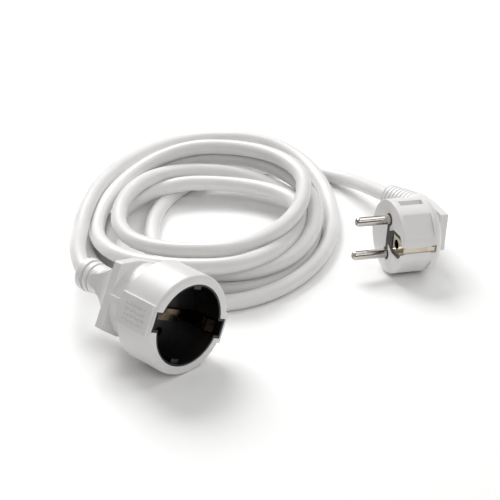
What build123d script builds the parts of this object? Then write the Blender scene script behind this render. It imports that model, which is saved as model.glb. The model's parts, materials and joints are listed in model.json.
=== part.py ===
"""Mains extension cord: an earthed two-pin trailing socket, two metres of round cord and an angled plug.

Units are millimetres, +Z is up. The socket lies on the ground with its axis along Y and its mouth facing -Y.
The origin is on the ground under the middle of the socket.
"""

import os
from math import cos, pi, radians, sin, tan

from build123d import *

# ---- driving dimensions ----
CORD_D = 8.3  # round three-core cord
PIN_SPACING = 19.0  # between the centres of the two live pins
PIN_D = 4.8
PIN_LENGTH = 19.0

SOCKET_LENGTH = 75.0
SOCKET_R = 25.0  # round barrel, which rests on the ground
SOCKET_ROLL = 25.0  # degrees that the socket has rolled about its own axis
BARREL_LENGTH = 22.0
RECESS_R = 19.6
RECESS_DEPTH = 17.5
FLANGE_DEPTH = 35.5  # from the mouth to the front of the grip flange
FLANGE_T = 4.5
NECK_R = 7.5
CORES_START = 36.0  # from the mouth to where the cores leave the contacts
SHEATH_START = 62.0  # from the mouth to the cut end of the sheath

PLUG_R = 19.2
PLUG_FACE = (142.5, -32.7, 20.8)  # centre of the plug's flat face
PLUG_YAW = 156.3  # heading of the pins, in degrees from +X
PLUG_PITCH = 4.5  # how far the pins point up

COIL_TURN = -44.0  # heading of the coil's own X axis
COIL_CENTRE = (112.2, 72.3)
COIL_HEIGHT = 30.0
CLEARANCE = 0.05  # moulded plastic round metal and wire

os.makedirs("parts", exist_ok=True)


def keep(builder, name):
    """Label one finished piece and write it to its own file."""
    builder.part.label = name
    export_step(builder.part, f"parts/{name}.step")


def direction(heading, climb=0.0):
    """Unit vector from a heading and a climb, both in degrees."""
    flat = cos(radians(climb))
    return Vector(flat * cos(radians(heading)), flat * sin(radians(heading)), sin(radians(climb)))


def side_plane(base):
    """The plane through a base plane's X and Z axes: x across, y along the base plane's normal."""
    return Plane(origin=base.origin, x_dir=base.x_dir, z_dir=-base.y_dir)


# ---- the socket's plane: x towards an earth contact, y along the pin line, z into the socket ----
roll = radians(SOCKET_ROLL)
SOCKET = Plane(
    origin=(0, -SOCKET_LENGTH / 2, SOCKET_R),
    x_dir=(cos(roll), 0, -sin(roll)),
    z_dir=(0, 1, 0),
)
SOCKET_SIDE = side_plane(SOCKET)
SOCKET_AXIS = Axis(SOCKET.origin, SOCKET.z_dir)

# ---- socket: the black insert that the contacts sit in ----
INSERT_FRONT = 0.3  # the insert's rim sits just inside the white face
INSERT_R = RECESS_R + 0.9
FLOOR_T = 2.5
LUG_WIDTH = 10.0
LUG_REACH = 23.6
POCKET_WIDTH = 7.4
POCKET_REACH = 22.6
KEY_WIDTH = 4.8
KEY_REACH = 2.2
KEY_START = 2.0  # from the mouth to the front of the two guide keys
KEY_ROOT = 0.4  # how far a key runs into the recess wall
TOWER_LENGTH = 14.0
TOWER_WIDTH = 11.0
TOWER_SPAN = 30.0
TOWER_CORNER_R = 3.0
SLEEVE_R = 3.0
SLEEVE_BORE = PIN_D / 2 + 0.1
EARTH_LEG_WIDTH = 4.0
STRIP_T = 0.8
STRIP_WIDTH = 5.8
HINGE_REACH = 19.7  # socket axis to the bend where a spring arm starts
HINGE_DEPTH = RECESS_DEPTH - STRIP_T / 2
floor_back = RECESS_DEPTH + FLOOR_T
tower_back = floor_back + TOWER_LENGTH
contact_spots = [(0, PIN_SPACING / 2), (0, -PIN_SPACING / 2)]

with BuildPart() as socket_insert:
    with BuildSketch(SOCKET.offset(INSERT_FRONT)):
        Circle(INSERT_R)
        Rectangle(2 * LUG_REACH, LUG_WIDTH)
    extrude(amount=floor_back - INSERT_FRONT)
    with BuildSketch(SOCKET.offset(INSERT_FRONT)):
        Circle(RECESS_R)
        Rectangle(2 * POCKET_REACH, POCKET_WIDTH)
    extrude(amount=RECESS_DEPTH - INSERT_FRONT, mode=Mode.SUBTRACT)
    with BuildSketch(SOCKET.offset(KEY_START)):
        with Locations((0, RECESS_R), (0, -RECESS_R)):
            Rectangle(KEY_WIDTH, 2 * KEY_REACH)
        Circle(RECESS_R + KEY_ROOT, mode=Mode.INTERSECT)
    extrude(amount=RECESS_DEPTH - KEY_START)
    with BuildSketch(SOCKET.offset(RECESS_DEPTH)):
        Circle(RECESS_R)
    extrude(amount=FLOOR_T, mode=Mode.SUBTRACT)
keep(socket_insert, "socket_insert")

# ---- socket: the recess floor and the towers behind it, in two halves that close on the earth strip's leg ----


def contact_chamber(name, side):
    """Half of the recess floor with the tower for one live contact, on one side of the earth strip."""
    spot = (0, side * PIN_SPACING / 2)
    with BuildPart() as chamber:
        with BuildSketch(SOCKET.offset(RECESS_DEPTH)):
            Circle(RECESS_R - CLEARANCE)
        extrude(amount=FLOOR_T)
        with BuildSketch(SOCKET.offset(floor_back)):
            RectangleRounded(TOWER_WIDTH, TOWER_SPAN, TOWER_CORNER_R)
        extrude(amount=TOWER_LENGTH)
        with BuildSketch(SOCKET.offset(RECESS_DEPTH)):
            with Locations((0, -side * RECESS_R)):
                Rectangle(2 * RECESS_R, 2 * RECESS_R)
            with Locations(spot):
                Circle(SLEEVE_BORE)
            Rectangle(STRIP_T + 2 * CLEARANCE, EARTH_LEG_WIDTH + 2 * CLEARANCE)
        extrude(amount=FLOOR_T + TOWER_LENGTH, mode=Mode.SUBTRACT)
        with BuildSketch(SOCKET.offset(floor_back)):
            with Locations(spot):
                Circle(SLEEVE_R + CLEARANCE)
        extrude(amount=TOWER_LENGTH, mode=Mode.SUBTRACT)
    keep(chamber, name)


contact_chamber("socket_chamber_line", 1)
contact_chamber("socket_chamber_neutral", -1)

# ---- socket: the cover that closes the back of the insert before the white body is moulded ----
COVER_T = 2.0
CRIMP_R = 2.0
cover_back = tower_back + COVER_T

with BuildPart() as socket_insert_cover:
    with BuildSketch(SOCKET.offset(tower_back)):
        RectangleRounded(TOWER_WIDTH, TOWER_SPAN, TOWER_CORNER_R)
        with Locations(*contact_spots):
            Circle(CRIMP_R + CLEARANCE, mode=Mode.SUBTRACT)
        Rectangle(STRIP_T + 2 * CLEARANCE, EARTH_LEG_WIDTH + 2 * CLEARANCE, mode=Mode.SUBTRACT)
    extrude(amount=COVER_T)
keep(socket_insert_cover, "socket_insert_cover")

# ---- socket: line and neutral contact sleeves, each with its crimp barrel ----
CRIMP_LENGTH = 6.0
CONDUCTOR_R = 0.9
SLEEVE_SLIT = 0.7
crimp_back = cover_back + CRIMP_LENGTH

for side, spot in zip(("line", "neutral"), contact_spots):
    with BuildPart() as contact:
        with BuildSketch(SOCKET.offset(floor_back)):
            with Locations(spot):
                Circle(SLEEVE_R)
        extrude(amount=TOWER_LENGTH)
        with BuildSketch(SOCKET.offset(tower_back)):
            with Locations(spot):
                Circle(CRIMP_R)
        extrude(amount=COVER_T + CRIMP_LENGTH)
        with BuildSketch(SOCKET.offset(floor_back)):
            with Locations(spot):
                Circle(SLEEVE_BORE)
                Rectangle(SLEEVE_SLIT, 2 * SLEEVE_R + 1)
        extrude(amount=TOWER_LENGTH - 1, mode=Mode.SUBTRACT)
        with BuildSketch(SOCKET.offset(cover_back)):
            with Locations(spot):
                Circle(CONDUCTOR_R)
        extrude(amount=CRIMP_LENGTH, mode=Mode.SUBTRACT)
    keep(contact, f"socket_contact_{side}")

# ---- socket: the earth strip across the recess floor, with its leg down to the crimp ----
RAISE = 1.4  # the middle of the strip stands off the floor
strip_end = HINGE_REACH - STRIP_T / 2 - 0.1
strip_top = RECESS_DEPTH - STRIP_T
half_strip = [(strip_end, strip_top), (11, strip_top), (9.4, strip_top - RAISE), (0, strip_top - RAISE)]
half_back = [(x, depth + STRIP_T) for x, depth in reversed(half_strip)]

with BuildPart() as socket_earth_strip:
    with BuildSketch(SOCKET_SIDE):
        with BuildLine():
            Polyline(*half_strip, *half_back, close=True)
        make_face()
        mirror(about=Plane.YZ)
    extrude(amount=STRIP_WIDTH / 2, both=True)
    with BuildSketch(SOCKET.offset(strip_top - RAISE + STRIP_T)):
        Rectangle(STRIP_T, EARTH_LEG_WIDTH)
    extrude(amount=cover_back + 1.0 - (strip_top - RAISE + STRIP_T))
    with BuildSketch(SOCKET.offset(cover_back + 1.0)):
        Circle(CRIMP_R)
        Circle(CONDUCTOR_R, mode=Mode.SUBTRACT)
    extrude(amount=CRIMP_LENGTH)
keep(socket_earth_strip, "socket_earth_strip")

# ---- socket: two spring arms that press on the plug's earth clips ----
ARM_TIP_DEPTH = 2.6
BULGE = (HINGE_REACH - 2.3, 6.0)

for side, sign in (("right", 1), ("left", -1)):
    with BuildPart() as arm:
        with BuildSketch(SOCKET_SIDE):
            with BuildLine() as spine:
                FilletPolyline(
                    (sign * HINGE_REACH, HINGE_DEPTH),
                    (sign * (HINGE_REACH - 0.2), 9.5),
                    (sign * BULGE[0], BULGE[1]),
                    (sign * (HINGE_REACH + 0.2), ARM_TIP_DEPTH),
                    radius=1.2,
                )
            trace(line_width=STRIP_T)
            with Locations((sign * HINGE_REACH, HINGE_DEPTH)):
                Circle(STRIP_T / 2)
        extrude(amount=STRIP_WIDTH / 2, both=True)
    keep(arm, f"socket_earth_arm_{side}")

# ---- the three insulated cores inside the socket, from crimp to sheath ----
CORE_R = 1.3
CORE_SPREAD = 1.75  # core centres from the cord's axis inside the sheath
core_names = ("brown", "blue", "green_yellow")
core_starts = [
    (0, PIN_SPACING / 2, crimp_back),
    (0, -PIN_SPACING / 2, crimp_back),
    (0, 0, cover_back + 1.0 + CRIMP_LENGTH),
]
core_ends = [(-1.0, CORE_SPREAD), (-1.0, -CORE_SPREAD), (CORE_SPREAD, 0)]


def core_path(base, start, end, finish):
    """Corners of one core: straight out of its crimp, across, and straight into the sheath."""
    x, y, depth = start
    local = [(x, y, depth), (x, y, depth + 4), (end[0], end[1], finish - 4), (end[0], end[1], finish)]
    return [base.from_local_coords(point) for point in local]


def core_solid(base, start, end, finish, radius):
    """One core, or with a larger radius the room it takes in the plastic moulded round it."""
    corners = core_path(base, start, end, finish)
    with BuildPart() as core:
        with BuildLine() as path:
            FilletPolyline(*corners, radius=4)
        with BuildSketch(Plane(corners[0], z_dir=corners[1] - corners[0])):
            Circle(radius)
        sweep(path=path.line)
    return core


for name, start, end in zip(core_names, core_starts, core_ends):
    keep(core_solid(SOCKET, start, end, SHEATH_START, CORE_R), f"socket_core_{name}")

# ---- socket: the white body, moulded over the insert, the cores and the end of the sheath ----
WAIST_R = 19.0
SHOULDER_LENGTH = 4.0
RIM_FILLET = 1.6
PAD_REACH = 25.9
PAD_WIDTH = 14.8
PAD_FRONT = 1.2
FLANGE_HALF = 18.9  # flange half-width across the earth contacts
FLANGE_STRAIGHT = 16.5  # half of its straight edge
FLANGE_TOP = 19.2
FAN_END = 60.0
NECK_RING = 8.3
RIB_WIDTH = 3.0
SCOOP_R = 19.7
SCOOP_DEPTH = 58.0  # from the mouth to the deepest line of a thumb scoop
SCOOP_WAIST = 6.3  # half-thickness that the scoops leave there
flange_back = FLANGE_DEPTH + FLANGE_T
barrel = [
    (0, 0),
    (SOCKET_R, 0),
    (SOCKET_R, BARREL_LENGTH),
    (WAIST_R, BARREL_LENGTH + SHOULDER_LENGTH),
    (WAIST_R, FLANGE_DEPTH),
    (0, FLANGE_DEPTH),
]
flange = [
    (FLANGE_HALF, -FLANGE_STRAIGHT),
    (FLANGE_HALF, FLANGE_STRAIGHT),
    (8, FLANGE_TOP),
    (-8, FLANGE_TOP),
    (-FLANGE_HALF, FLANGE_STRAIGHT),
    (-FLANGE_HALF, -FLANGE_STRAIGHT),
    (-8, -FLANGE_TOP),
    (8, -FLANGE_TOP),
]
fan_sections = [(flange_back, 36.6, 33, 4), (47, 27, 26, 6), (53, 20, 19.5, 7), (FAN_END, 15, 15, 7.4)]
neck_outline = [
    (0, FAN_END - 6),
    (NECK_R, FAN_END - 6),
    (NECK_R, 65.4),
    (NECK_R - 0.8, 65.4),
    (NECK_R - 0.8, 66.6),
    (NECK_R + 0.3, 66.6),
    (NECK_R + 0.3, 69.0),
    (NECK_R - 0.6, 69.0),
    (NECK_R - 0.6, 70.2),
    (NECK_RING, 70.2),
    (NECK_RING, SOCKET_LENGTH - 1.6),
    (NECK_R - 0.6, SOCKET_LENGTH),
    (0, SOCKET_LENGTH),
]

with BuildPart() as socket_housing:
    with BuildSketch(SOCKET_SIDE):
        with BuildLine():
            Polyline(*barrel, close=True)
        make_face()
    revolve(axis=SOCKET_AXIS)
    rim = socket_housing.edges().filter_by(GeomType.CIRCLE).group_by(Axis.Y)[0]
    fillet(rim, RIM_FILLET)
    with BuildSketch(SOCKET.offset(PAD_FRONT)):
        Rectangle(2 * PAD_REACH, PAD_WIDTH)
    extrude(amount=BARREL_LENGTH + 1.0 - PAD_FRONT)
    with BuildSketch(SOCKET.offset(BARREL_LENGTH)):
        Rectangle(2 * (WAIST_R + 1.6), RIB_WIDTH)
    extrude(amount=FLANGE_DEPTH - BARREL_LENGTH)
    with BuildSketch(SOCKET.offset(FLANGE_DEPTH)) as flange_outline:
        with BuildLine():
            Polyline(*flange, close=True)
        make_face()
        fillet(flange_outline.vertices(), 0.8)
    extrude(amount=FLANGE_T)
    for depth, across, tall, corner in fan_sections:
        with BuildSketch(SOCKET.offset(depth)):
            RectangleRounded(across, tall, corner)
    loft()
    with BuildSketch(SOCKET_SIDE):
        with BuildLine():
            Polyline(*neck_outline, close=True)
        make_face()
    revolve(axis=SOCKET_AXIS)
    with BuildSketch(SOCKET_SIDE):
        with Locations((SCOOP_WAIST + SCOOP_R, SCOOP_DEPTH), (-SCOOP_WAIST - SCOOP_R, SCOOP_DEPTH)):
            Circle(SCOOP_R)
        with Locations((0, flange_back / 2)):
            Rectangle(4 * SOCKET_R, flange_back, mode=Mode.SUBTRACT)
    extrude(amount=SOCKET_R, both=True, mode=Mode.SUBTRACT)
    with BuildSketch(SOCKET):
        Circle(INSERT_R)
        Rectangle(2 * LUG_REACH, LUG_WIDTH)
    extrude(amount=floor_back, mode=Mode.SUBTRACT)
    with BuildSketch(SOCKET.offset(floor_back)):
        RectangleRounded(TOWER_WIDTH, TOWER_SPAN, TOWER_CORNER_R)
    extrude(amount=TOWER_LENGTH + COVER_T, mode=Mode.SUBTRACT)
    with BuildSketch(SOCKET.offset(cover_back)):
        with Locations(*contact_spots):
            Circle(CRIMP_R + CLEARANCE)
    extrude(amount=CRIMP_LENGTH, mode=Mode.SUBTRACT)
    with BuildSketch(SOCKET.offset(cover_back)):
        Circle(CRIMP_R + 3 * CLEARANCE)
    extrude(amount=CRIMP_LENGTH + 1.0, mode=Mode.SUBTRACT)
    with BuildSketch(SOCKET.offset(SHEATH_START)):
        Circle(CORD_D / 2)
    extrude(amount=SOCKET_LENGTH - SHEATH_START, mode=Mode.SUBTRACT)
    for start, end in zip(core_starts, core_ends):
        room = core_solid(SOCKET, start, end, SHEATH_START, CORE_R + CLEARANCE).part
        add(room, mode=Mode.SUBTRACT)
keep(socket_housing, "socket_housing")

# ---- the plug's plane: x away from the cord, y up the pin line, z along the pins ----
PLUG = Plane(
    origin=PLUG_FACE,
    x_dir=direction(PLUG_YAW + 90),
    z_dir=direction(PLUG_YAW, PLUG_PITCH),
)
PLUG_SIDE = side_plane(PLUG)
RELIEF_BASE = (-28.0, 0.0, -30.0)  # where the strain relief leaves the plug's arm
RELIEF_END = (-51.5, -2.1, -24.3)
relief_start = PLUG.from_local_coords(RELIEF_BASE)
relief_end = PLUG.from_local_coords(RELIEF_END)
RELIEF = Plane(origin=relief_start, x_dir=PLUG.y_dir, z_dir=relief_end - relief_start)
RELIEF_LENGTH = (relief_end - relief_start).length
SHEATH_GRIP = 3.0  # from the relief's base to the cut end of the sheath
pin_spots = [(0, PIN_SPACING / 2), (0, -PIN_SPACING / 2)]

# ---- plug: two solid round pins, each with a crimp barrel behind the carrier ----
PIN_ROOT = 12.0
PIN_CRIMP = 5.0
PIN_R = PIN_D / 2
PIN_ROOT_R = PIN_R - 0.3
PIN_SHOULDER = 0.3  # from the plug's face to where the pin has its full thickness

for side, (x, y) in zip(("line", "neutral"), pin_spots):
    with BuildPart() as pin:
        with BuildSketch(PLUG.offset(PIN_SHOULDER)):
            with Locations((x, y)):
                Circle(PIN_R)
        extrude(amount=PIN_LENGTH - PIN_SHOULDER)
        tip = pin.edges().filter_by(GeomType.CIRCLE).sort_by(Axis(PLUG.origin, PLUG.z_dir))[-1]
        fillet(tip, PIN_R - 0.4)
        with BuildSketch(PLUG.offset(-PIN_ROOT)):
            with Locations((x, y)):
                Circle(PIN_ROOT_R)
        extrude(amount=PIN_ROOT + PIN_SHOULDER)
        with BuildSketch(PLUG.offset(-PIN_ROOT - PIN_CRIMP)):
            with Locations((x, y)):
                Circle(CRIMP_R)
                Circle(CONDUCTOR_R, mode=Mode.SUBTRACT)
        extrude(amount=PIN_CRIMP)
    keep(pin, f"plug_pin_{side}")

# ---- plug: earth contact, a face plate round the earth hole, a sleeve and two side clips ----
EARTH_HOLE_X = 10.0
EARTH_BORE = 2.45
EARTH_SLEEVE_R = 3.3
PLATE_DEPTH = 0.6  # the plate sits just below the plug's face
PLATE_T = 0.8
PLATE_HALF = 4.4
STRAP_DEPTH = 9.0
STRAP_WIDTH = 6.0
STRAP_REACH = 16.0  # from the plug's axis to where the strap narrows to the width of its clips
CLIP_REACH = 18.7
CLIP_WIDTH = 2.3
CLIP_LENGTH = 18.0
EARTH_CRIMP_X = -5.0


def plate_outline(gap=0.0, reach=CLIP_REACH):
    """Corners of the earth plate in the plug's face, or of the room for it with a gap all round."""
    lower = [(5.4 - gap, -PLATE_HALF - gap), (15.0, -PLATE_HALF - gap), (reach, -CLIP_WIDTH / 2 - gap)]
    return lower + [(x, -y) for x, y in reversed(lower)]


with BuildPart() as plug_earth_contact:
    with BuildSketch(PLUG.offset(-PLATE_DEPTH - PLATE_T)):
        Polygon(*plate_outline(), align=None)
    extrude(amount=PLATE_T)
    with BuildSketch(PLUG.offset(-STRAP_DEPTH)):
        with Locations((EARTH_HOLE_X, 0)):
            Circle(EARTH_SLEEVE_R)
    extrude(amount=STRAP_DEPTH - PLATE_DEPTH)
    with BuildSketch(PLUG.offset(-STRAP_DEPTH - PLATE_T)):
        Rectangle(2 * STRAP_REACH, STRAP_WIDTH)
        Rectangle(2 * CLIP_REACH, CLIP_WIDTH)
    extrude(amount=PLATE_T)
    for sign in (1, -1):
        with BuildSketch(PLUG.offset(-CLIP_LENGTH)):
            with Locations((sign * (CLIP_REACH - PLATE_T / 2), 0)):
                Rectangle(PLATE_T, CLIP_WIDTH)
        extrude(amount=CLIP_LENGTH - PLATE_DEPTH)
    with BuildSketch(PLUG.offset(-STRAP_DEPTH - PLATE_T)):
        with Locations((EARTH_HOLE_X, 0)):
            Circle(EARTH_BORE)
    extrude(amount=STRAP_DEPTH + PLATE_T, mode=Mode.SUBTRACT)
    with BuildSketch(PLUG.offset(-PIN_ROOT - PIN_CRIMP)):
        with Locations((EARTH_CRIMP_X, 0)):
            Circle(CRIMP_R)
    extrude(amount=PIN_ROOT + PIN_CRIMP - STRAP_DEPTH - PLATE_T)
    with BuildSketch(PLUG.offset(-PIN_ROOT - PIN_CRIMP)):
        with Locations((EARTH_CRIMP_X, 0)):
            Circle(CONDUCTOR_R)
    extrude(amount=PIN_CRIMP, mode=Mode.SUBTRACT)
keep(plug_earth_contact, "plug_earth_contact")

# ---- plug: the black carrier that holds the pins and shows round the earth plate ----
COLLAR_R = 3.4
CARRIER_FACE = 0.2
CARRIER_BACK = PIN_ROOT
surround = [(0.0, -3.0), (6.4, -6.4), (14.2, -6.4), (16.4, -4.4)]
surround_top = [(x, -y) for x, y in reversed(surround)]


def carrier_shape():
    """Outline of the carrier in the plug's face: two collars, the web between and the earth surround."""
    with Locations(*pin_spots):
        Circle(COLLAR_R)
    Rectangle(3.0, PIN_SPACING)
    Polygon(*surround, *surround_top, align=None)


with BuildPart() as plug_carrier:
    with BuildSketch(PLUG.offset(-CARRIER_BACK)):
        carrier_shape()
    extrude(amount=CARRIER_BACK - CARRIER_FACE)
    with BuildSketch(PLUG.offset(-CARRIER_BACK)):
        with Locations(*pin_spots):
            Circle(PIN_ROOT_R + CLEARANCE)
    extrude(amount=CARRIER_BACK, mode=Mode.SUBTRACT)
    with BuildSketch(PLUG.offset(-STRAP_DEPTH)):
        with Locations((EARTH_HOLE_X, 0)):
            Circle(EARTH_SLEEVE_R + CLEARANCE)
    extrude(amount=STRAP_DEPTH, mode=Mode.SUBTRACT)
    with BuildSketch(PLUG.offset(-PLATE_DEPTH - PLATE_T)):
        Polygon(*plate_outline(CLEARANCE), align=None)
    extrude(amount=PLATE_DEPTH + PLATE_T, mode=Mode.SUBTRACT)
    with BuildSketch(PLUG.offset(-CARRIER_BACK)):
        Rectangle(2 * PLUG_R, STRAP_WIDTH + 2 * CLEARANCE)
    extrude(amount=CARRIER_BACK - STRAP_DEPTH, mode=Mode.SUBTRACT)
keep(plug_carrier, "plug_carrier")

# ---- plug: the three cores from the crimps to the sheath ----
plug_core_starts = [
    (0, PIN_SPACING / 2, -PIN_ROOT - PIN_CRIMP),
    (0, -PIN_SPACING / 2, -PIN_ROOT - PIN_CRIMP),
    (EARTH_CRIMP_X, 0, -PIN_ROOT - PIN_CRIMP),
]
plug_core_ends = [(1.6, 0.95), (-1.6, 0.95), (0, -1.3)]
CORE_STRAIGHT = 3.0


def plug_core(start, end, radius):
    """One core of the plug, or the room it takes in the body, from its crimp to the sheath."""
    x, y, depth = start
    first = PLUG.from_local_coords((x, y, depth))
    second = PLUG.from_local_coords((x, y, depth - CORE_STRAIGHT))
    last = RELIEF.from_local_coords((end[0], end[1], SHEATH_GRIP))
    before = RELIEF.from_local_coords((end[0], end[1], -CORE_STRAIGHT))
    with BuildPart() as core:
        with BuildLine() as path:
            FilletPolyline(first, second, before, last, radius=2.5)
        with BuildSketch(Plane(first, z_dir=second - first)):
            Circle(radius)
        sweep(path=path.line)
    return core


for name, start, end in zip(core_names, plug_core_starts, plug_core_ends):
    keep(plug_core(start, end, CORE_R), f"plug_core_{name}")

# ---- plug: the ribbed strain relief round the end of the sheath ----
RELIEF_BASE_R = 8.8
RELIEF_END_R = 6.6
RIB_COUNT = 8
RIB_HEIGHT = 0.8
rib_pitch = (RELIEF_LENGTH - 2.0) / RIB_COUNT
relief_outline = [(CORD_D / 2, 0), (RELIEF_BASE_R, 0)]
for rib in range(RIB_COUNT):
    start = 1.0 + rib * rib_pitch
    wall = RELIEF_BASE_R + (RELIEF_END_R - RELIEF_BASE_R) * start / RELIEF_LENGTH
    relief_outline.append((wall, start))
    relief_outline.append((wall, start + 0.5 * rib_pitch))
    relief_outline.append((wall - RIB_HEIGHT, start + 0.55 * rib_pitch))
    relief_outline.append((wall - RIB_HEIGHT, start + 0.95 * rib_pitch))
relief_outline.append((RELIEF_END_R, RELIEF_LENGTH - 1.0))
relief_outline.append((RELIEF_END_R - 0.5, RELIEF_LENGTH))
relief_outline.append((CORD_D / 2, RELIEF_LENGTH))

with BuildPart() as plug_strain_relief:
    with BuildSketch(side_plane(RELIEF)):
        with BuildLine():
            Polyline(*relief_outline, close=True)
        make_face()
    revolve(axis=Axis(RELIEF.origin, RELIEF.z_dir))
keep(plug_strain_relief, "plug_strain_relief")

# ---- plug: the white body ----
DISC_LENGTH = 17.5
BACK_R = 11.0
BODY_LENGTH = 23.5
BACK_BULGE = (17.5, 21.6)  # radius and depth halfway round the body's rounded back
GROOVE_LENGTH = 16.5
GROOVE_FRONT = 3.5
GROOVE_WIDTH = 4.2
GROOVE_FLOOR = 17.0
GROOVE_SHIFT = 2.0  # towards the earth hole
SLOT_WIDTH = 2.8
SLOT_LENGTH = 19.0
SLOT_FLOOR = 16.6
SLOT_END = 3.0
SLOT_END_WIDTH = 4.2
FACET_ANGLE = 38.0
FACET_REACH = 18.1
FACET_FRONT = 1.8
GRIP = (-8.5, 21.0, 20.6)  # centre across, width and height of the grip plate
GRIP_FRONT = 28.3
GRIP_T = 4.2
GRIP_NECK = (13.0, 14.0)
ARM_START = (-8.0, 0.0, -16.5)
arm_origin = PLUG.from_local_coords(ARM_START)
ARM = Plane(origin=arm_origin, x_dir=PLUG.y_dir, z_dir=relief_start - arm_origin)
arm_length = (relief_start - arm_origin).length

with BuildPart() as plug_housing:
    with BuildSketch(PLUG_SIDE):
        with BuildLine():
            Polyline((0, -BODY_LENGTH), (0, 0), (PLUG_R, 0), (PLUG_R, -DISC_LENGTH))
            ThreePointArc(
                (PLUG_R, -DISC_LENGTH),
                (BACK_BULGE[0], -BACK_BULGE[1]),
                (BACK_R, -BODY_LENGTH),
            )
            Line((BACK_R, -BODY_LENGTH), (0, -BODY_LENGTH))
        make_face()
    revolve(axis=Axis(PLUG.origin, PLUG.z_dir))
    rim = plug_housing.edges().filter_by(GeomType.CIRCLE).sort_by(Axis(PLUG.origin, PLUG.z_dir))[-1]
    fillet(rim, 0.6)
    with BuildSketch(ARM):
        RectangleRounded(28, 18, 7)
    with BuildSketch(ARM.offset(0.55 * arm_length)):
        RectangleRounded(23, 19, 8)
    with BuildSketch(RELIEF):
        Circle(RELIEF_BASE_R)
    loft()
    with BuildSketch(PLUG.offset(-GRIP_FRONT)):
        with Locations((GRIP[0], 0)):
            Rectangle(*GRIP_NECK)
    extrude(amount=GRIP_FRONT - DISC_LENGTH)
    with BuildSketch(PLUG.offset(-GRIP_FRONT - GRIP_T)):
        with Locations((GRIP[0], 0)):
            RectangleRounded(GRIP[1], GRIP[2], 1.0)
    extrude(amount=GRIP_T)
    for sign in (1, -1):
        with BuildSketch(PLUG.offset(-GROOVE_LENGTH)):
            with Locations((GROOVE_SHIFT, sign * (GROOVE_FLOOR + PLUG_R) / 2 + sign)):
                Rectangle(GROOVE_WIDTH, PLUG_R - GROOVE_FLOOR + 2)
        extrude(amount=GROOVE_LENGTH - GROOVE_FRONT, mode=Mode.SUBTRACT)
        with BuildSketch(PLUG.offset(-SLOT_LENGTH)):
            with Locations((sign * (SLOT_FLOOR + PLUG_R) / 2 + sign, 0)):
                Rectangle(PLUG_R - SLOT_FLOOR + 2, SLOT_WIDTH)
        extrude(amount=SLOT_LENGTH, mode=Mode.SUBTRACT)
    with BuildSketch(PLUG.offset(-SLOT_LENGTH)):
        with Locations(((SLOT_FLOOR + PLUG_R) / 2 + 1, 0)):
            Rectangle(PLUG_R - SLOT_FLOOR + 2, SLOT_END_WIDTH)
    extrude(amount=SLOT_END, mode=Mode.SUBTRACT)
    with BuildSketch(PLUG.offset(-DISC_LENGTH)):
        with PolarLocations(0, 2, start_angle=FACET_ANGLE, angular_range=-2 * FACET_ANGLE, endpoint=True):
            with Locations((FACET_REACH + 5, 0)):
                Rectangle(10, 30)
    extrude(amount=DISC_LENGTH - FACET_FRONT, mode=Mode.SUBTRACT)
    with BuildSketch(PLUG.offset(-CARRIER_BACK)):
        carrier_shape()
    extrude(amount=CARRIER_BACK, mode=Mode.SUBTRACT)
    with BuildSketch(PLUG.offset(-CARRIER_BACK)):
        with Locations((EARTH_HOLE_X, 0)):
            Circle(EARTH_SLEEVE_R + CLEARANCE)
        Rectangle(2 * (STRAP_REACH + CLEARANCE), STRAP_WIDTH + 2 * CLEARANCE)
        Rectangle(2 * PLUG_R, CLIP_WIDTH + 2 * CLEARANCE)
    extrude(amount=CARRIER_BACK - STRAP_DEPTH, mode=Mode.SUBTRACT)
    with BuildSketch(PLUG.offset(-PLATE_DEPTH - PLATE_T)):
        Polygon(*plate_outline(CLEARANCE, PLUG_R + 1), align=None)
    extrude(amount=PLATE_DEPTH + PLATE_T, mode=Mode.SUBTRACT)
    with BuildSketch(PLUG.offset(-PIN_ROOT - PIN_CRIMP)):
        with Locations(*pin_spots, (EARTH_CRIMP_X, 0)):
            Circle(CRIMP_R + CLEARANCE)
    extrude(amount=PIN_CRIMP, mode=Mode.SUBTRACT)
    for start, end in zip(plug_core_starts, plug_core_ends):
        add(plug_core(start, end, CORE_R + CLEARANCE).part, mode=Mode.SUBTRACT)
keep(plug_housing, "plug_housing")

# ---- the cord: a lead from the socket, a coil of loose turns and a tail to the plug ----
COIL = Plane(origin=(*COIL_CENTRE, 0), x_dir=direction(COIL_TURN), z_dir=(0, 0, 1))
COIL_OUTER = (73.0, 97.0)
COIL_INNER_CENTRE = (12.0, -10.0)
COIL_INNER = (37.0, 49.0)
COIL_ROUND = 9.0

with BuildPart() as cord_coil:
    with BuildSketch(COIL):
        Ellipse(*COIL_OUTER)
        with Locations(COIL_INNER_CENTRE):
            Ellipse(*COIL_INNER, mode=Mode.SUBTRACT)
    extrude(amount=COIL_HEIGHT)
    fillet(cord_coil.faces().filter_by(Axis.Z).edges(), COIL_ROUND)
keep(cord_coil, "cord_coil")

lead_straight = [SHEATH_START, SOCKET_LENGTH + 0.5]
lead_points = [
    (-63.7, -89.9, 24.7),
    (-66.8, -75.2, 23.4),
    (-67.1, -59.7, 21.2),
    (-66.2, -43.8, 18.6),
    (-64.0, -28.0, 16.5),
]
tail_straight = [SHEATH_GRIP, RELIEF_LENGTH + 1.0]
tail_points = [
    (84.5, 36.5, 9.2),
    (71.0, 56.5, 4.4),
    (51.0, 67.5, 4.3),
    (27.0, 69.0, 4.3),
]


def bend_radii(corners):
    """The largest arc at each corner: 0.45 of the shorter run over the tangent of half the turn."""
    radii = []
    for before, here, after in zip(corners, corners[1:], corners[2:]):
        turn = (here - before).get_angle(after - here)
        run = min((here - before).length, (after - here).length)
        radii.append(0.45 * run / tan(radians(turn / 2)))
    return radii


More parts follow.
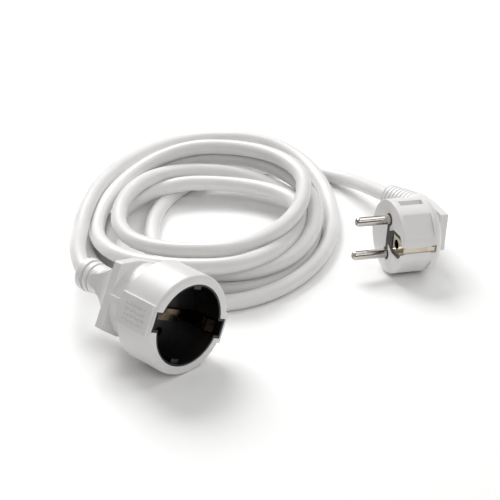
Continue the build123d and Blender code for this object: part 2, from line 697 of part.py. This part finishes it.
def cord_tube(name, base, straight, points):
    """A round tube: straight out of its end piece, then along runs and tangent arcs to the coil."""
    corners = [base.from_local_coords((0, 0, depth)) for depth in straight]
    corners += [COIL.from_local_coords(point) for point in points]
    radii = bend_radii(corners)
    with BuildPart() as tube:
        with BuildLine() as path:
            FilletPolyline(*corners, radius=radii)
        with BuildSketch(Plane(corners[0], z_dir=corners[1] - corners[0])):
            Circle(CORD_D / 2)
        sweep(path=path.line)
    keep(tube, name)
    length = path.wire().length
    share = tube.part.volume / (pi * CORD_D**2 / 4 * length)
    runs = [(after - here).length for here, after in zip(corners, corners[1:])]
    print(name, "radii", [round(radius) for radius in radii], "runs", [round(run) for run in runs])
    print(name, "length", round(length, 1), "volume share", round(share, 4))


cord_tube("cord_lead", SOCKET, lead_straight, lead_points)
cord_tube("cord_tail", RELIEF, tail_straight, tail_points)
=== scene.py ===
"""A white extension cord: trailing socket, loose coil of round cord and angled plug, over its CAD model.

Blender units are metres. Lengths in the tables of route points are millimetres, turned into metres by mm().
"""

import json
from math import cos, pi, radians, sin

import bpy
import numpy as np
from mathutils import Matrix, Vector


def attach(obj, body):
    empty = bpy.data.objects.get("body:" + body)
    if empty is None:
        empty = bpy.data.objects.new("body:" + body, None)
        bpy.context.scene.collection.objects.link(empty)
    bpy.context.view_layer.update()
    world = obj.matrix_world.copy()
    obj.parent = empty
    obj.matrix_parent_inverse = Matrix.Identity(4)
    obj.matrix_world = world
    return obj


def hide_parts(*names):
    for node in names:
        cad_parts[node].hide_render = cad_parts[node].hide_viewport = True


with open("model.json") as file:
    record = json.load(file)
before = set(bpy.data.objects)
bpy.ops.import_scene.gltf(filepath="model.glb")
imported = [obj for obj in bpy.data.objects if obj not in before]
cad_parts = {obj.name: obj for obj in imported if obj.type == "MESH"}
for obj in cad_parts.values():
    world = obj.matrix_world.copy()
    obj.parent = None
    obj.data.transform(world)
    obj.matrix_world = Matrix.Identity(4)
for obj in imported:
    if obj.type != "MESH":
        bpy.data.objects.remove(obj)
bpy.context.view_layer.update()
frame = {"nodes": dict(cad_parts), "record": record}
nodes = frame["nodes"]
BODY = "cord_set"

# ---- places that part.py gives, in millimetres and degrees ----
CORD_D = 8.3
SOCKET_HEIGHT = 25.0
SOCKET_BACK = 37.5  # the neck's end, along Y
SOCKET_ROLL = 25.0
PLUG_FACE = (142.5, -32.7, 20.8)
PLUG_YAW = 156.3
PLUG_PITCH = 4.5
RELIEF_BASE = (-28.0, 0.0, -30.0)
RELIEF_END = (-51.5, -2.1, -24.3)
COIL_CENTRE = (112.2, 72.3, 0.0)
COIL_TURN = -44.0

# ---- the camera ----
CAMERA_DISTANCE = 1.05
CAMERA_ELEVATION = 26.8
CAMERA_HEADING = 46.0  # the way that it looks, in degrees from +X
LOOKS_AT = Vector((0.1094, 0.0348, 0.0))
LENS = 142.56
SENSOR = 36.0
FAR_CLIP = 20.0


def mm(point):
    """A point in millimetres as a Vector in metres."""
    return Vector(point) / 1000.0


def direction(heading, climb=0.0):
    """Unit vector from a heading and a climb, both in degrees."""
    flat = cos(radians(climb))
    return Vector((flat * cos(radians(heading)), flat * sin(radians(heading)), sin(radians(climb))))


def place(origin, x_axis, z_axis):
    """The matrix that puts a local frame at origin, in metres."""
    y_axis = z_axis.cross(x_axis)
    turned = Matrix((x_axis, y_axis, z_axis)).transposed().to_4x4()
    return Matrix.Translation(origin) @ turned


PLUG = place(mm(PLUG_FACE), direction(PLUG_YAW + 90.0), direction(PLUG_YAW, PLUG_PITCH))
COIL = place(mm(COIL_CENTRE), direction(COIL_TURN), Vector((0, 0, 1)))


def add_to_scene(name, data):
    """A new object in the scene's own collection."""
    thing = bpy.data.objects.new(name, data)
    bpy.context.scene.collection.objects.link(thing)
    return thing


def aim(thing):
    """Turns a camera or a light towards the middle of the set."""
    thing.rotation_euler = (LOOKS_AT - thing.location).to_track_quat("-Z", "Y").to_euler()


def make_camera():
    """A long lens that looks down on the set."""
    data = bpy.data.cameras.new("camera")
    data.lens = LENS
    data.sensor_width = SENSOR
    data.clip_end = FAR_CLIP
    camera = add_to_scene("camera", data)
    camera.location = LOOKS_AT - CAMERA_DISTANCE * direction(CAMERA_HEADING, -CAMERA_ELEVATION)
    aim(camera)
    bpy.context.scene.camera = camera


# ---- the cord's route ----
# The lead from the socket and the tail to the plug, in the coil's frame, as in part.py.
LEAD_POINTS = [(-60.5, -90.5, 24.7), (-63.0, -75.2, 23.4), (-63.8, -59.7, 21.2)]
TAIL_POINTS = [(51.0, 67.5, 4.2), (71.0, 56.5, 4.4), (84.5, 36.5, 9.2)]

# The coil as the places where a turn is furthest left, back, right or front: x, y and height in the coil's
# frame. The last number is how full the next quarter is: under 1 it swells past an ellipse.
COIL_STATIONS = [
    ("left", (-64.2, -43.8, 18.6), 0.93),
    ("back", (9.0, 84.4, 15.5), 0.8),
    ("right", (68.2, -1.0, 4.2), 1.05),
    ("front", (5.0, -96.5, 4.2), 0.95),
    ("left", (-63.0, -21.0, 4.2), 1.0),
    ("back", (4.0, 52.8, 16.7), 0.95),
    ("right", (57.6, -7.0, 12.8), 1.0),
    ("front", (10.0, -79.0, 12.5), 0.95),
    ("left", (-52.0, -21.0, 4.2), 1.0),
    ("back", (-1.0, 31.0, 9.5), 0.95),
    ("right", (51.5, -9.0, 11.0), 1.0),
    ("front", (8.0, -88.5, 18.7), 0.95),
    ("left", (-56.7, -27.0, 13.5), 1.0),
    ("back", (2.0, 50.5, 24.8), 0.9),
    ("right", (53.3, 2.0, 23.0), 1.0),
    ("front", (4.0, -78.3, 23.8), 0.95),
    ("left", (-45.0, -25.0, 18.0), 1.0),
    ("back", (-1.0, 40.5, 13.5), 0.95),
    ("right", (59.0, -9.0, 4.2), 1.0),
    ("front", (10.0, -81.0, 4.2), 0.95),
    ("left", (-29.0, -11.0, 4.2), 1.0),
    ("back", (32.0, 68.0, 4.2), 1.0),
]
STEPS_PER_QUARTER = 22
SETTLE_ROUNDS = 70
NEIGHBOURS = 8  # points this close along the cord never push each other
PUSH = 0.3  # the share of an overlap that one round undoes
SMOOTH_SPAN = 11  # points that share a push, an odd number
HELD_ENDS = 6  # points at each end of the coil that stay put
SMALLEST_GAP = 0.01
SOCKET_GRIP = 8.0  # how far the cord runs on inside the socket's neck
NECK_END = 0.5  # how far behind the neck the cord still runs straight
RELIEF_GRIP = 0.5  # how far it runs up the plug's strain relief, as a share of it


def quarter_turn(here, there, steps):
    """Points of a quarter turn from one station to the next, without its last point."""
    side, start, fullness = here
    start = np.array(start)
    across = np.array(there[1]) - start
    points = []
    for step in range(steps):
        ease = step / steps
        angle = pi / 2 * step / steps
        leaving = 1 - cos(angle) ** fullness
        arriving = sin(angle) ** fullness
        rise = ease * ease * (3 - 2 * ease)
        shares = (leaving, arriving, rise) if side in ("left", "right") else (arriving, leaving, rise)
        points.append(start + across * shares)
    return points


def settle(points, diameter, rounds):
    """Moves turns that sink into each other, or into the floor, apart until they touch."""
    loose = points.copy()
    count = len(points)
    along_cord = np.abs(np.subtract.outer(np.arange(count), np.arange(count)))
    others = along_cord > NEIGHBOURS
    kernel = np.hanning(SMOOTH_SPAN)
    kernel /= kernel.sum()
    margin = SMOOTH_SPAN // 2
    for _ in range(rounds):
        apart = loose[:, None] - loose[None]
        gap = np.linalg.norm(apart, axis=2)
        overlap = (diameter - gap) / np.maximum(gap, SMALLEST_GAP)
        push = np.where(others & (gap < diameter), overlap, 0.0)
        drift = loose + PUSH * (push[..., None] * apart).sum(axis=1) - points
        padded = np.pad(drift, ((margin, margin), (0, 0)), mode="edge")
        drift = np.stack([np.convolve(padded[:, axis], kernel, "valid") for axis in range(3)], axis=1)
        drift[:HELD_ENDS] = 0.0
        drift[-HELD_ENDS:] = 0.0
        loose = points + drift
        loose[:, 2] = np.maximum(loose[:, 2], diameter / 2)
    return loose


def cord_route():
    """The whole cord from inside the socket's neck to inside the plug's strain relief, in metres."""
    turns = []
    for here, there in zip(COIL_STATIONS, COIL_STATIONS[1:]):
        turns += quarter_turn(here, there, STEPS_PER_QUARTER)
    turns.append(np.array(COIL_STATIONS[-1][1]))
    turns = settle(np.array(turns), CORD_D, SETTLE_ROUNDS)
    neck = [mm((0, SOCKET_BACK + shift, SOCKET_HEIGHT)) for shift in (-SOCKET_GRIP, NECK_END)]
    coil = [COIL @ mm(point) for point in LEAD_POINTS + [tuple(row) for row in turns] + TAIL_POINTS]
    relief_start, relief_end = PLUG @ mm(RELIEF_BASE), PLUG @ mm(RELIEF_END)
    plug = [relief_end, relief_end.lerp(relief_start, RELIEF_GRIP)]
    return neck + coil + plug


def make_cord(material):
    """The cord as one round curve."""
    route = cord_route()
    data = bpy.data.curves.new("cord", "CURVE")
    data.dimensions = "3D"
    data.bevel_depth = CORD_D / 2000.0
    data.bevel_resolution = 6
    data.resolution_u = 3
    data.use_fill_caps = True
    spline = data.splines.new("NURBS")
    spline.points.add(len(route) - 1)
    for point, place_of_point in zip(spline.points, route):
        point.co = (*place_of_point, 1.0)
    spline.order_u = 3
    spline.use_endpoint_u = True
    data.materials.append(material)
    cord = add_to_scene("cord", data)
    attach(cord, BODY)
    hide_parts("cord_lead", "cord_coil", "cord_tail")


# ---- materials ----
# Noise scales are in features per metre, and depths of relief in metres.
CLOUD_SCALE = 45.0
GLOSS_SCALE = 140.0
TARNISH_SCALE = 220.0
GRAIN_STRENGTH = 0.5
SCRATCH_DEPTH = 0.000005
SCRATCH_STRENGTH = 0.2
NOISE_RANGE = (0.3, 0.7)  # where nearly all of a noise texture's values lie
TONE_RANGE = (0.35, 0.65)  # the noise values between which one tone turns into the other


def node_material(name):
    """A new node material and its tree, shader and coordinate source."""
    material = bpy.data.materials.new(name)
    material.use_nodes = True
    tree = material.node_tree
    shader = tree.nodes["Principled BSDF"]
    place_in_object = tree.nodes.new("ShaderNodeTexCoord").outputs["Object"]
    return material, tree, shader, place_in_object


def noise(tree, vector, scale, detail=2.0):
    """A noise texture's value."""
    texture = tree.nodes.new("ShaderNodeTexNoise")
    texture.inputs["Scale"].default_value = scale
    texture.inputs["Detail"].default_value = detail
    tree.links.new(vector, texture.inputs["Vector"])
    return texture.outputs["Fac"]


def spread(tree, value, low, high):
    """Maps a noise value's usual range onto low to high."""
    span = tree.nodes.new("ShaderNodeMapRange")
    span.inputs["From Min"].default_value, span.inputs["From Max"].default_value = NOISE_RANGE
    span.inputs["To Min"].default_value = low
    span.inputs["To Max"].default_value = high
    tree.links.new(value, span.inputs["Value"])
    return span.outputs["Result"]


def two_tones(tree, value, tones, stops=TONE_RANGE):
    """A colour that moves from the first tone to the second as a value passes from stop to stop."""
    ramp = tree.nodes.new("ShaderNodeValToRGB")
    for element, tone, stop in zip(ramp.color_ramp.elements, tones, stops):
        element.position = stop
        element.color = (*tone, 1.0)
    tree.links.new(value, ramp.inputs["Fac"])
    return ramp.outputs["Color"]


def bump(tree, shader, height, distance, strength):
    """Roughens the shader's normal with a height."""
    node = tree.nodes.new("ShaderNodeBump")
    node.inputs["Distance"].default_value = distance
    node.inputs["Strength"].default_value = strength
    tree.links.new(height, node.inputs["Height"])
    tree.links.new(node.outputs["Normal"], shader.inputs["Normal"])


def moulded(name, tones, roughness, grain, grain_depth):
    """Moulded plastic: two close tones, uneven gloss and a fine grain."""
    material, tree, shader, where = node_material(name)
    cloud = noise(tree, where, CLOUD_SCALE, 3.0)
    tree.links.new(two_tones(tree, cloud, tones), shader.inputs["Base Color"])
    tree.links.new(spread(tree, noise(tree, where, GLOSS_SCALE), *roughness), shader.inputs["Roughness"])
    bump(tree, shader, noise(tree, where, grain), grain_depth, GRAIN_STRENGTH)
    return material


def metal(name, tones, roughness, scratches):
    """Plated metal with faint scratches along one way."""
    material, tree, shader, where = node_material(name)
    stretch = tree.nodes.new("ShaderNodeMapping")
    stretch.inputs["Scale"].default_value = scratches
    tree.links.new(where, stretch.inputs["Vector"])
    lines = noise(tree, stretch.outputs["Vector"], 1.0, 3.0)
    tarnish = noise(tree, where, TARNISH_SCALE)
    tree.links.new(two_tones(tree, tarnish, tones), shader.inputs["Base Color"])
    tree.links.new(spread(tree, lines, *roughness), shader.inputs["Roughness"])
    shader.inputs["Metallic"].default_value = 1.0
    bump(tree, shader, lines, SCRATCH_DEPTH, SCRATCH_STRENGTH)
    return material


WHITE = ((0.775, 0.766, 0.757), (0.81, 0.802, 0.793))
WHITE_FINISH = ((0.30, 0.42), 1400.0, 0.00004)
CORE_FINISH = ((0.4, 0.5), 900.0, 0.00003)
ROUND_SCRATCHES = (900.0, 900.0, 90.0)
STRIP_SCRATCHES = (700.0, 90.0, 700.0)

# Plastics: the two tones, the range of roughness, the grain's scale and its depth.
PLASTICS = {
    "white_pvc": (WHITE, *WHITE_FINISH),
    "white_cord": (WHITE, (0.28, 0.40), 900.0, 0.00003),
    "black_plastic": (((0.003, 0.003, 0.003), (0.006, 0.006, 0.006)), (0.28, 0.42), 1600.0, 0.00003),
    "core_brown": (((0.10, 0.04, 0.02), (0.13, 0.05, 0.025)), *CORE_FINISH),
    "core_blue": (((0.02, 0.08, 0.35), (0.03, 0.10, 0.42)), *CORE_FINISH),
    "core_green_yellow": (((0.06, 0.30, 0.05), (0.65, 0.60, 0.05)), *CORE_FINISH),
}

# Metals: the two tones, the range of roughness and the scratches' scale along each axis.
METALS = {
    "nickel": (((0.56, 0.53, 0.50), (0.62, 0.59, 0.56)), (0.10, 0.17), ROUND_SCRATCHES),
    "plated_brass": (((0.52, 0.45, 0.36), (0.62, 0.55, 0.46)), (0.10, 0.20), STRIP_SCRATCHES),
    "brass": (((0.62, 0.45, 0.20), (0.72, 0.54, 0.26)), (0.2, 0.36), STRIP_SCRATCHES),
    # The earth strip is the same plated brass; its near-black tones are painted shade, standing for the
    # dark recess that it sits in and reflects.
    "earth_strip": (((0.045, 0.036, 0.028), (0.13, 0.10, 0.07)), (0.10, 0.20), STRIP_SCRATCHES),
}

# The raised panel on the socket's side, in metres in the socket's own frame.
PANEL_SIDE = -0.0245  # it lies beyond this, across the socket
PANEL_HALF = 0.0052  # half of its height
PANEL_DEPTHS = (0.0045, 0.0185)  # from the mouth
ROW_PITCH = 0.0026
ROW_CUT = -0.1  # a sine above this is on a row, below it between two rows
DASH_SCALE = 900.0
DASH_CUT = 0.47  # noise above this is raised
EMBOSS = 0.0005
PANEL_SHADE = 0.12


def math_node(tree, operation, first, second=0.0):
    """One math node on a socket and a socket or number."""
    node = tree.nodes.new("ShaderNodeMath")
    node.operation = operation
    tree.links.new(first, node.inputs[0])
    if isinstance(second, float):
        node.inputs[1].default_value = second
    else:
        tree.links.new(second, node.inputs[1])
    return node.outputs["Value"]


def along(tree, where, axis, offset):
    """How far a place lies along an axis, less an offset."""
    dot = tree.nodes.new("ShaderNodeVectorMath")
    dot.operation = "DOT_PRODUCT"
    tree.links.new(where, dot.inputs[0])
    dot.inputs[1].default_value = axis
    return math_node(tree, "SUBTRACT", dot.outputs["Value"], offset)


def panel_relief(tree):
    """Rows of short raised dashes on the panel, which stand for no letters: 1 where raised, 0 elsewhere."""
    where = tree.nodes.new("ShaderNodeTexCoord").outputs["Object"]
    roll = radians(SOCKET_ROLL)
    mouth = mm((0.0, -SOCKET_BACK, SOCKET_HEIGHT))
    across_axis = Vector((cos(roll), 0.0, -sin(roll)))
    up_axis = Vector((sin(roll), 0.0, cos(roll)))
    across = along(tree, where, across_axis, across_axis.dot(mouth))
    up = along(tree, where, up_axis, up_axis.dot(mouth))
    depth = along(tree, where, Vector((0.0, 1.0, 0.0)), mouth.y)
    inside_tests = [
        math_node(tree, "LESS_THAN", across, PANEL_SIDE),
        math_node(tree, "LESS_THAN", math_node(tree, "ABSOLUTE", up), PANEL_HALF),
        math_node(tree, "GREATER_THAN", depth, PANEL_DEPTHS[0]),
        math_node(tree, "LESS_THAN", depth, PANEL_DEPTHS[1]),
    ]
    wave = math_node(tree, "SINE", math_node(tree, "MULTIPLY", up, 2.0 * pi / ROW_PITCH))
    rows = math_node(tree, "GREATER_THAN", wave, ROW_CUT)
    dashes = math_node(tree, "GREATER_THAN", noise(tree, where, DASH_SCALE, 0.0), DASH_CUT)
    height = math_node(tree, "MULTIPLY", rows, dashes)
    for inside in inside_tests:
        height = math_node(tree, "MULTIPLY", height, inside)
    return height


def embossed_white():
    """The socket's white plastic, with the relief of its side panel and painted shade on its raised dashes.
    """
    material = moulded("white_pvc_embossed", WHITE, *WHITE_FINISH)
    tree = material.node_tree
    shader = tree.nodes["Principled BSDF"]
    height = panel_relief(tree)
    shade = tree.nodes.new("ShaderNodeHueSaturation")
    tree.links.new(shader.inputs["Base Color"].links[0].from_socket, shade.inputs["Color"])
    # The raised dashes are painted darker by PANEL_SHADE: painted shade of the relief.
    darker = math_node(tree, "MULTIPLY", height, -PANEL_SHADE)
    tree.links.new(math_node(tree, "ADD", darker, 1.0), shade.inputs["Value"])
    tree.links.new(shade.outputs["Color"], shader.inputs["Base Color"])
    raised = tree.nodes.new("ShaderNodeBump")
    raised.inputs["Distance"].default_value = EMBOSS
    tree.links.new(height, raised.inputs["Height"])
    grain = shader.inputs["Normal"].links[0].from_node
    tree.links.new(raised.outputs["Normal"], grain.inputs["Normal"])
    return material


def make_materials():
    """Every material by name: one for each of the record's slots, and two more for single pieces."""
    made = {name: moulded(name, *finish) for name, finish in PLASTICS.items()}
    made.update({name: metal(name, *finish) for name, finish in METALS.items()})
    made["white_pvc_embossed"] = embossed_white()
    return made


# Pieces whose finish differs from that of their slot: the housing gets its embossed panel, and the earth
# strip and arms get brass darkened with painted shade of the socket's recess.
SPECIAL = {
    "socket_housing": "white_pvc_embossed",
    "socket_earth_strip": "earth_strip",
    "socket_earth_arm_left": "earth_strip",
    "socket_earth_arm_right": "earth_strip",
}


def dress_cad(materials):
    """Gives every CAD node its procedural material."""
    slots = {part["node"]: part["material_slot"] for part in frame["record"]["subparts"]}
    for name, node in nodes.items():
        node.data.materials.clear()
        node.data.materials.append(materials[SPECIAL.get(name, slots[name])])


# ---- the studio ----
FLOOR_HALF = 3.0
FLOOR_TONES = ((0.98, 0.98, 0.98), (0.99, 0.99, 0.99))
FLOOR_SCALE = 3.0
FLOOR_ROUGHNESS = 0.6
ROOM_TONES = ((0.06, 0.058, 0.055), (1.0, 0.99, 0.975))
ROOM_HEIGHTS = (0.12, 0.55)  # the sines of the climbs between which the room turns bright
ROOM_STRENGTH = 0.41

# Softboxes: size, power, bearing, climb and distance. A bearing is measured from straight behind the set,
# towards its right.
SOFTBOXES = {
    "key": ((0.8, 0.6), 12.0, -26.0, 46.0, 1.2),
    "side": ((0.9, 0.9), 4.0, 60.0, 55.0, 1.3),
    "front": ((1.2, 0.6), 3.6, 150.0, 40.0, 1.6),
}


def make_floor():
    """A plain pale floor."""
    mesh = bpy.data.meshes.new("floor")
    corners = [(-1, -1), (1, -1), (1, 1), (-1, 1)]
    mesh.from_pydata([(x * FLOOR_HALF, y * FLOOR_HALF, 0) for x, y in corners], [], [(0, 1, 2, 3)])
    floor = add_to_scene("floor", mesh)
    material, tree, shader, where = node_material("floor")
    cloud = noise(tree, where, FLOOR_SCALE)
    tree.links.new(two_tones(tree, cloud, FLOOR_TONES), shader.inputs["Base Color"])
    shader.inputs["Roughness"].default_value = FLOOR_ROUGHNESS
    mesh.materials.append(material)


def area_light(name, size, power, bearing, climb, distance):
    """A softbox that shines at the middle of the set."""
    data = bpy.data.lights.new(name, "AREA")
    data.shape = "RECTANGLE"
    data.size, data.size_y = size
    data.energy = power
    light = add_to_scene(name, data)
    light.location = LOOKS_AT + distance * direction(CAMERA_HEADING - bearing, climb)
    aim(light)


def make_room():
    """A room that is dark near the floor and bright overhead."""
    world = bpy.data.worlds.new("room")
    bpy.context.scene.world = world
    world.use_nodes = True
    tree = world.node_tree
    background = tree.nodes["Background"]
    split = tree.nodes.new("ShaderNodeSeparateXYZ")
    tree.links.new(tree.nodes.new("ShaderNodeTexCoord").outputs["Generated"], split.inputs["Vector"])
    sky = two_tones(tree, split.outputs["Z"], ROOM_TONES, ROOM_HEIGHTS)
    tree.links.new(sky, background.inputs["Color"])
    background.inputs["Strength"].default_value = ROOM_STRENGTH


def make_studio():
    """The floor, the softboxes and the room round them."""
    make_floor()
    for name, settings in SOFTBOXES.items():
        area_light(name, *settings)
    make_room()
    bpy.context.scene.view_settings.view_transform = "Standard"


make_camera()
materials = make_materials()
make_cord(materials["white_cord"])
dress_cad(materials)
make_studio()
